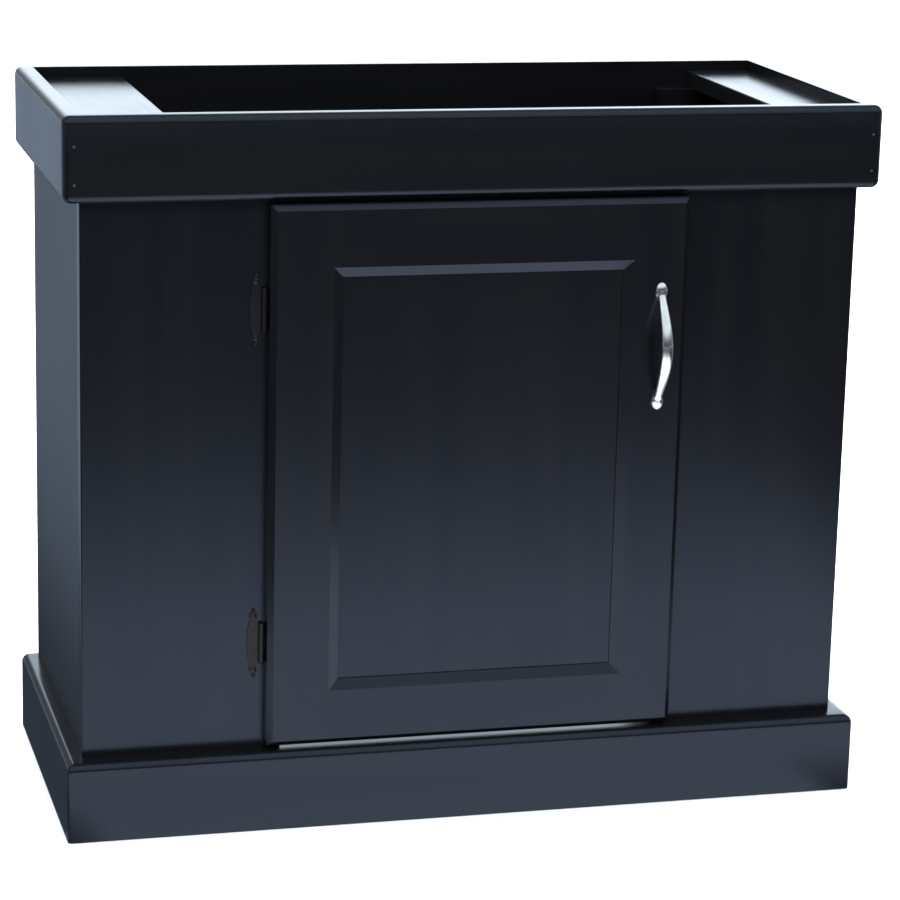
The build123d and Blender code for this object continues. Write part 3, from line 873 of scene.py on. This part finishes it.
class STAND_OT_hinge_screws(bpy.types.Operator):
    """Model the cross-recessed screws of both hinges"""

    bl_idname = "stand.hinge_screws"
    bl_label = "Hinge screws"

    def execute(self, context):
        settings = context.scene.stand_screws
        iron = metal_material(
            "hinge_screw_black",
            context.scene.stand_hardware.hinge_black,
            roughness=0.24,
            metallic=0.0,
            speck_scale=IRON_SPECKS,
        )
        low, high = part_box("hinge_frame_wing_screws")
        middle_x = (low[0] + high[0]) / 2
        radius = settings.head_width / 2
        bottoms = (low[2] + radius, high[2] - radius - settings.pad_pitch)
        heights = [z for bottom in bottoms for z in (bottom, bottom + settings.pad_pitch)]
        screws = [
            self.screw((middle_x, low[1], z), high[1] - low[1], FIRST_LEAN + LEAN_STEP * number, settings)
            for number, z in enumerate(heights)
        ]
        group = join(screws, "frame_wing_screws")
        stand_for(group, "hinge_frame_wing_screws", iron)
        return {"FINISHED"}

    def screw(self, crown, length, lean, settings):
        """A domed head with a cross cut in its crown, on a plain shank."""
        x, face, z = crown
        radius = settings.head_width / 2
        underside = face + settings.head_height
        head = ball((x, underside, z), (radius, settings.head_height, radius), segments=40)
        cut_back(head, underside)
        proud = settings.recess_depth * CUTTER_PROUD
        cutter_y = face + (settings.recess_depth - proud) / 2
        for quarter in (0, 90):
            bpy.ops.mesh.primitive_cube_add(size=1.0, location=(x, cutter_y, z))
            blade = bpy.context.object
            blade.scale = (settings.recess_length, settings.recess_depth + proud, settings.recess_width)
            blade.rotation_euler = (0.0, math.radians(lean + quarter), 0.0)
            settle(blade)
            carve(head, blade)
        start = settings.head_height * SHANK_START
        shank_radius = settings.shank_width / 2
        bpy.ops.mesh.primitive_cone_add(
            vertices=SHANK_SIDES,
            radius1=shank_radius,
            radius2=shank_radius * SHANK_TIP,
            depth=length - start,
            location=(x, face + (length + start) / 2, z),
            rotation=(-math.pi / 2, 0.0, 0.0),
        )
        shank = bpy.context.object
        settle(shank)
        screw = join([head, shank], "hinge_screw")
        only(screw)
        bpy.ops.object.shade_smooth_by_angle(angle=SCREW_CREASE)
        return screw


class STAND_OT_hinge_wings(bpy.types.Operator):
    """Bake both hinges black, with a domed bead on each finial"""

    bl_idname = "stand.hinge_wings"
    bl_label = "Hinge wings"

    def execute(self, context):
        settings = context.scene.stand_hinges
        iron = metal_material(
            "hinge_baked_black",
            context.scene.stand_hardware.hinge_black,
            roughness=0.28,
            metallic=0.0,
            speck_scale=IRON_SPECKS,
            depth=IRON_DEPTH,
            sheen=0.3,
        )
        for place in ("upper", "lower"):
            for part in ("hinge_door_wing", "hinge_pin"):
                dress(f"{part}_{place}", iron)
            node = f"hinge_frame_wing_{place}"
            low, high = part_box(node)
            middle_x = low[0] + settings.wing_width / 2
            face = high[1] - settings.wing_thickness
            radius = settings.bead_width / 2
            pieces = [merged_copy(node)]
            for z in (low[2] + radius, high[2] - radius):
                bead = ball((middle_x, face, z), (radius, settings.bead_height, radius), segments=28)
                bpy.ops.object.shade_smooth_by_angle(angle=SCREW_CREASE)
                pieces.append(bead)
            wing = join(pieces, f"beaded_frame_wing_{place}")
            stand_for(wing, node, iron)
        return {"FINISHED"}


class STAND_OT_studio(bpy.types.Operator):
    """Set the floor, reflector card, room, lights and camera"""

    bl_idname = "stand.studio"
    bl_label = "Set the studio"

    def execute(self, context):
        settings = context.scene.stand_studio
        self.lay_floor(settings)
        self.lay_card(settings)
        self.light_room(context.scene, settings)
        self.hang_lights(context.scene, settings)
        self.place_camera(context.scene, settings)
        return {"FINISHED"}

    def lay_floor(self, settings):
        """A large pale floor."""
        bpy.ops.mesh.primitive_plane_add(size=FLOOR_SIZE, location=(0.0, 0.0, 0.0))
        floor = bpy.context.object
        floor.name = "studio_floor"
        material, tree, shader = new_material("studio_floor_paint")
        clouds = noise(tree, FLOOR_CLOUDS, detail=2.0)
        pale = tuple(settings.floor_colour)
        soft = tuple(channel * FLOOR_SHADE for channel in pale)
        tree.links.new(blend(tree, clouds, pale, soft), shader.inputs["Base Color"])
        shader.inputs["Roughness"].default_value = FLOOR_ROUGHNESS
        shader.inputs["Specular IOR Level"].default_value = FLOOR_SHEEN
        floor.data.materials.append(material)

    def lay_card(self, settings):
        """A reflector card on the floor that only glossy surfaces see."""
        bpy.ops.mesh.primitive_plane_add(size=CARD_SIZE, location=(0.0, 0.0, CARD_HEIGHT))
        card = bpy.context.object
        card.name = "reflector_card"
        material, tree, glow = new_material("reflector_card_light", "ShaderNodeEmission")
        x, y, _ = coordinate_parts(tree, "Object")
        out_x = arithmetic(tree, "ABSOLUTE", x)
        out_y = arithmetic(tree, "ABSOLUTE", y)
        near, far = Vector(settings.card_near), Vector(settings.card_far)
        ramp = tree.nodes.new("ShaderNodeValToRGB")
        ramp.color_ramp.interpolation = "B_SPLINE"
        stops = ramp.color_ramp.elements
        while len(stops) < len(CARD_STOPS):
            stops.new(0.5)
        for stop, (distance, mix) in zip(stops, CARD_STOPS):
            stop.position = distance / CARD_REACH
            stop.color = (*near.lerp(far, mix), 1.0)
        tree.links.new(remap(tree, out_y, (0.0, CARD_REACH)), ramp.inputs["Fac"])
        edge = remap(tree, out_x, FRONT_CARD_X)
        front = blend(tree, edge, ramp.outputs["Color"], tuple(settings.card_far))
        brighter = remap(tree, out_x, SIDE_CARD_X)
        side = blend(tree, brighter, tuple(settings.card_side_near), tuple(settings.card_side_far))
        beside = remap(tree, out_x, SIDE_ZONE_X)
        zone = arithmetic(tree, "MULTIPLY", beside, remap(tree, y, SIDE_ZONE_Y))
        tree.links.new(blend(tree, zone, front, side), glow.inputs["Color"])
        glow.inputs["Strength"].default_value = CARD_STRENGTH
        card.data.materials.append(material)
        card.visible_camera = False
        card.visible_diffuse = False
        card.visible_shadow = False
        card.visible_transmission = False

    def light_room(self, scene, settings):
        """A dim room, bright low down behind the stand and high up in front of it."""
        world = bpy.data.worlds.new("studio_room")
        scene.world = world
        world.use_nodes = True
        tree = world.node_tree
        tree.nodes.clear()
        output = tree.nodes.new("ShaderNodeOutputWorld")
        background = tree.nodes.new("ShaderNodeBackground")
        x, y, z = coordinate_parts(tree, "Generated")
        behind = remap(tree, y, BACKDROP_Y)
        low = remap(tree, z, BACKDROP_Z, (1.0, 0.0))
        far_right = remap(tree, x, FAR_BACKDROP_X, (0.0, FAR_BACKDROP_GAIN))
        right = arithmetic(tree, "ADD", remap(tree, x, BACKDROP_X), far_right)
        lit = arithmetic(tree, "MULTIPLY", right, arithmetic(tree, "MULTIPLY", behind, low))
        backdrop = arithmetic(tree, "MULTIPLY", lit, settings.backdrop)
        forward = remap(tree, y, FRONT_Y, (1.0, 0.0))
        high = remap(tree, z, FRONT_Z, (0.0, settings.front_sky))
        front = arithmetic(tree, "MULTIPLY", forward, high)
        room = remap(tree, y, ROOM_Y, (settings.sky * ROOM_DIM, settings.sky))
        strength = arithmetic(tree, "ADD", arithmetic(tree, "ADD", room, front), backdrop)
        tree.links.new(strength, background.inputs["Strength"])
        background.inputs["Color"].default_value = ROOM_COLOUR
        tree.links.new(background.outputs["Background"], output.inputs["Surface"])

    def hang_lights(self, scene, settings):
        """Soft boxes overhead, behind and in front, which glossy surfaces don't see."""
        for name, place, size, power in (
            ("overhead_box", (0.2, 0.6, 2.3), (2.4, 1.4), settings.overhead_power),
            ("rear_box", (0.9, 4.2, 2.8), (4.5, 3.5), settings.rear_power),
            ("front_box", (-0.2, -2.0, 2.0), (2.4, 1.6), settings.front_power),
        ):
            data = bpy.data.lights.new(name, "AREA")
            data.shape = "RECTANGLE"
            data.size, data.size_y = size
            data.energy = power
            light = bpy.data.objects.new(name, data)
            scene.collection.objects.link(light)
            light.location = place
            light.visible_glossy = False

    def place_camera(self, scene, settings):
        """The camera a little left of the stand's front and above it."""
        data = bpy.data.cameras.new("stand_camera")
        data.lens = settings.lens
        data.sensor_width = SENSOR_WIDTH
        data.clip_end = CLIP_END
        camera = bpy.data.objects.new("stand_camera", data)
        scene.collection.objects.link(camera)
        camera.location = settings.camera_place
        camera.rotation_euler = settings.camera_turn
        scene.camera = camera
        scene.view_settings.view_transform = "Standard"


class STAND_PT_sidebar(bpy.types.Panel):
    """Lists the stand's settings and making steps"""

    bl_idname = "STAND_PT_sidebar"
    bl_label = "Aquarium stand"
    bl_space_type = "VIEW_3D"
    bl_region_type = "UI"
    bl_category = "Stand"

    def draw(self, context):
        for group, settings in SETTINGS:
            box = self.layout.box()
            for name in settings.__annotations__:
                box.prop(getattr(context.scene, group), name)
        for operator in STEPS:
            self.layout.operator(operator.bl_idname)


SETTINGS = (
    ("stand_lacquer", StandLacquer),
    ("stand_hardware", StandHardware),
    ("stand_pull", StandPull),
    ("stand_screws", StandScrews),
    ("stand_hinges", StandHinges),
    ("stand_studio", StandStudio),
)
STEPS = (
    STAND_OT_lacquer_boards,
    STAND_OT_bare_pine,
    STAND_OT_fittings,
    STAND_OT_bow_pull,
    STAND_OT_hinge_screws,
    STAND_OT_hinge_wings,
    STAND_OT_studio,
)


def register():
    for name, settings in SETTINGS:
        bpy.utils.register_class(settings)
        setattr(bpy.types.Scene, name, PointerProperty(type=settings))
    for operator in STEPS:
        bpy.utils.register_class(operator)
    bpy.utils.register_class(STAND_PT_sidebar)


def unregister():
    bpy.utils.unregister_class(STAND_PT_sidebar)
    for operator in reversed(STEPS):
        bpy.utils.unregister_class(operator)
    for name, settings in reversed(SETTINGS):
        delattr(bpy.types.Scene, name)
        bpy.utils.unregister_class(settings)


def main():
    register()
    for operator in STEPS:
        group, name = operator.bl_idname.split(".")
        getattr(getattr(bpy.ops, group), name)()


if __name__ == "__main__":
    main()
